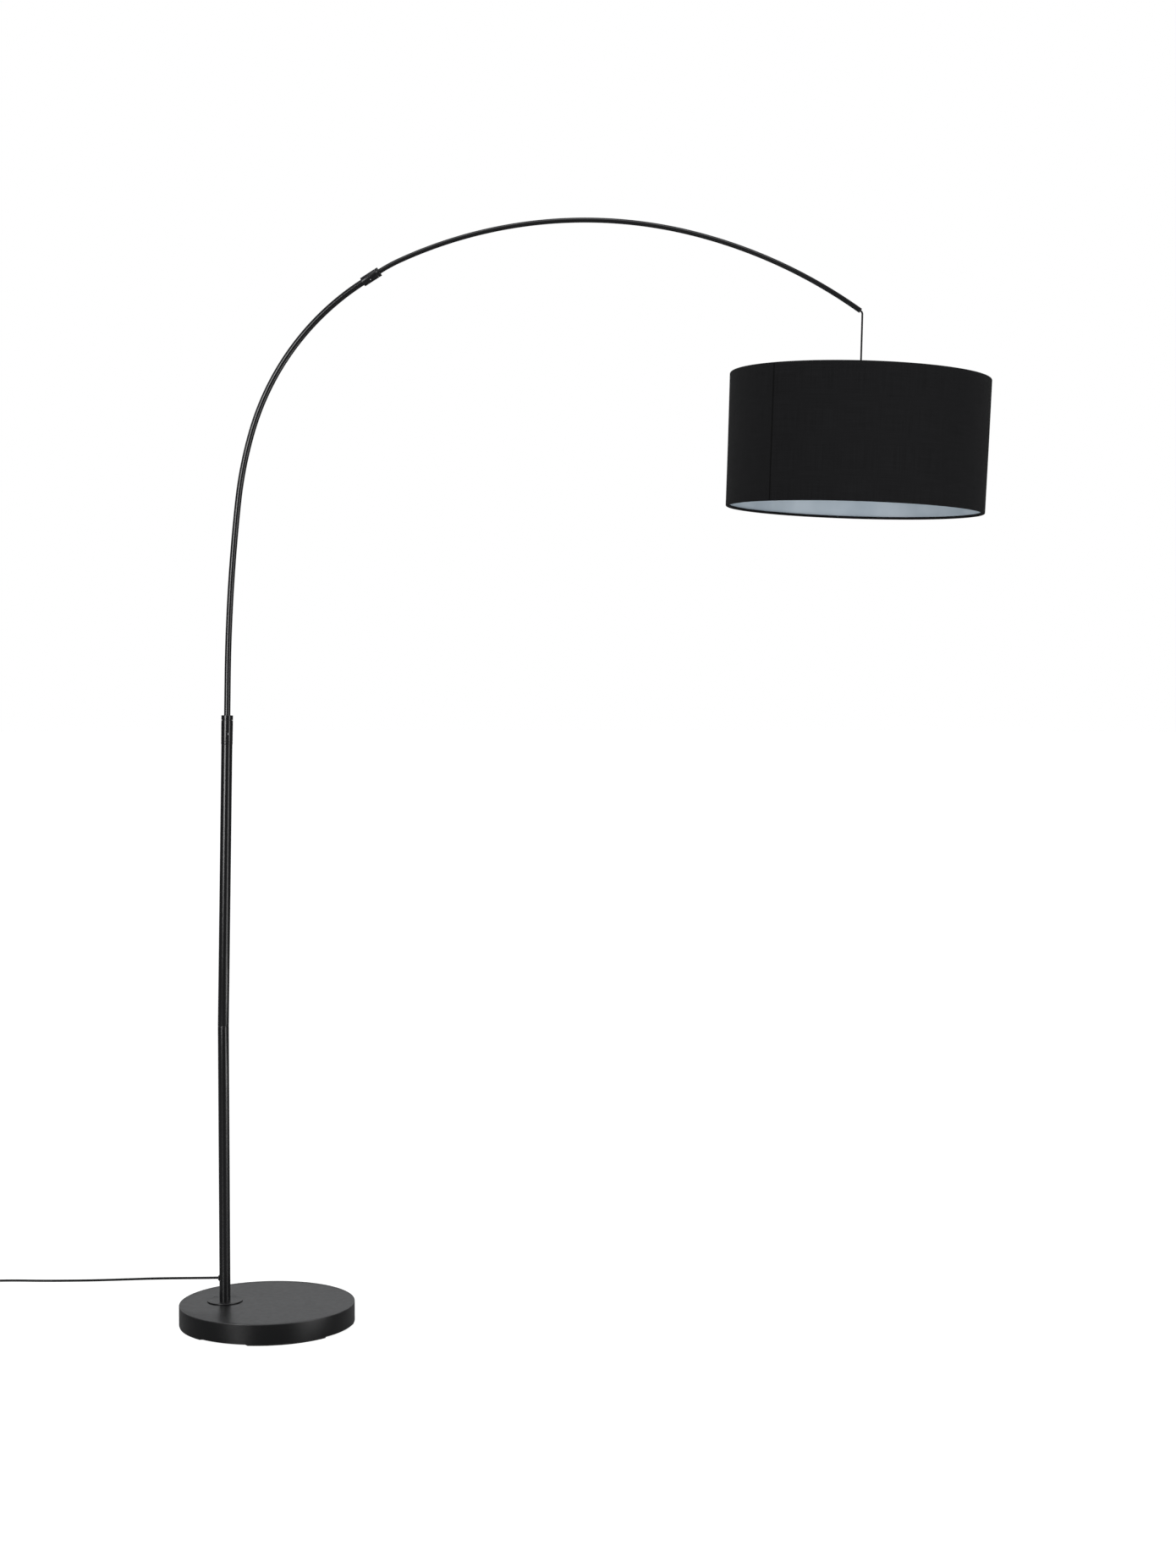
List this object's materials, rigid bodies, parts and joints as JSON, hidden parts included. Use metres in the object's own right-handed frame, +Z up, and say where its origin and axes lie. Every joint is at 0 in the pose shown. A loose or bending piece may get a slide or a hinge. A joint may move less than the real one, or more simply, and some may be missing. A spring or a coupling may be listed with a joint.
{
  "type": "arc floor lamp",
  "caption": "Arc floor lamp: round weighted base, slim pole, bent arm in a clamp collar, and a hanging fabric drum shade over a screw-in bulb, with a mains lead and foot switch.",
  "frame": {"origin": "on the floor under the middle of the round base", "axes": "+Z up the pole, +X from the pole towards the shade in the plane of the arm, +Y to the left when looking along +X"},
  "size_m": [2.2112, 0.5295, 2.1861],
  "materials": {
    "black_powder_coat": "satin powder coat",
    "black_satin_tube": "semi-gloss paint on steel tube",
    "cast_iron": "raw casting",
    "zinc_steel": "zinc plated",
    "black_rubber": "moulded, matte",
    "black_cable": "flexible sheath, satin",
    "black_plastic": "moulded, fine texture",
    "black_shade_fabric": "plain weave, laminated",
    "white_liner": "smooth backing film",
    "bulb_brass": "rolled thread",
    "frosted_glass": "frosted inside"
  },
  "bodies": {
    "base": {"base_cover": "black_powder_coat", "base_weight": "cast_iron", "base_spacer": "zinc_steel", "base_plate": "black_plastic", "foot_pad_1": "black_rubber", "foot_pad_2": "black_rubber", "foot_pad_3": "black_rubber", "foot_pad_4": "black_rubber", "centre_pad": "black_rubber", "foot_flange": "black_powder_coat", "foot_insert": "zinc_steel", "base_washer": "zinc_steel", "base_bolt": "zinc_steel", "lower_pole_tube": "black_satin_tube", "pole_coupling": "zinc_steel", "cord_grommet": "black_rubber", "pole_cable": "black_cable", "upper_pole_tube": "black_satin_tube", "collar_body": "black_satin_tube", "collar_cap": "black_satin_tube", "collar_grub_screw": "zinc_steel", "mains_cord": "black_cable", "switch_base": "black_plastic", "switch_cover": "black_plastic", "switch_relief_in": "black_rubber", "switch_relief_out": "black_rubber", "switch_lead": "black_cable", "cord_coil": "black_cable", "plug_lead": "black_cable", "plug_relief": "black_rubber", "plug_body": "black_plastic", "plug_pin_left": "zinc_steel", "plug_pin_right": "zinc_steel"},
    "clamp_sleeve": {"collar_ferrule": "black_plastic"},
    "arm": {"lower_arc_tube": "black_satin_tube", "upper_arc_tube": "black_satin_tube", "arc_collar_body": "black_satin_tube", "arc_collar_cap": "black_satin_tube", "arc_grub_screw": "zinc_steel", "tip_bush": "black_rubber", "arm_cable": "black_cable"},
    "pendant_link": {"pendant_cord_top": "black_cable"},
    "shade": {"pendant_cord": "black_cable", "cord_grip": "black_plastic", "lampholder_cap": "black_plastic", "lampholder_body": "black_plastic", "lampholder_insert": "black_plastic", "shade_clamp_ring": "black_plastic", "spider_hub": "zinc_steel", "spider_spoke_1": "zinc_steel", "spider_spoke_2": "zinc_steel", "spider_spoke_3": "zinc_steel", "shade_top_ring": "zinc_steel", "shade_bottom_ring": "zinc_steel", "shade_skin": "black_shade_fabric", "shade_liner": "white_liner", "bulb_cap": "bulb_brass", "bulb_glass": "frosted_glass"},
    "switch_button": {"switch_button": "black_plastic"}
  },
  "joints": [
    {"name": "arm_swivel", "type": "hinge", "parent": "base", "child": "clamp_sleeve", "pos_m": [-0.07528, 0, 1.18689], "axis": [0.0188, 0, 0.9998], "range_deg": [-90, 90]},
    {"name": "arm_height", "type": "slide", "parent": "clamp_sleeve", "child": "arm", "axis": [0.0188, 0, 0.9998], "range_m": [-0.07, 0.03]},
    {"name": "shade_swing_in_arm_plane", "type": "hinge", "parent": "arm", "child": "pendant_link", "pos_m": [1.17424, 0, 1.99767], "axis": [0, 1, 0], "range_deg": [-20, 20]},
    {"name": "shade_swing_sideways", "type": "hinge", "parent": "pendant_link", "child": "shade", "pos_m": [1.17762, 0, 1.98669], "axis": [1, 0, 0], "range_deg": [-20, 20]},
    {"name": "foot_switch_press", "type": "slide", "parent": "base", "child": "switch_button", "axis": [0, 0, -1], "range_m": [0, 0.0025], "stiffness_N_per_m": 600, "springref_m": -0.002}
  ]
}
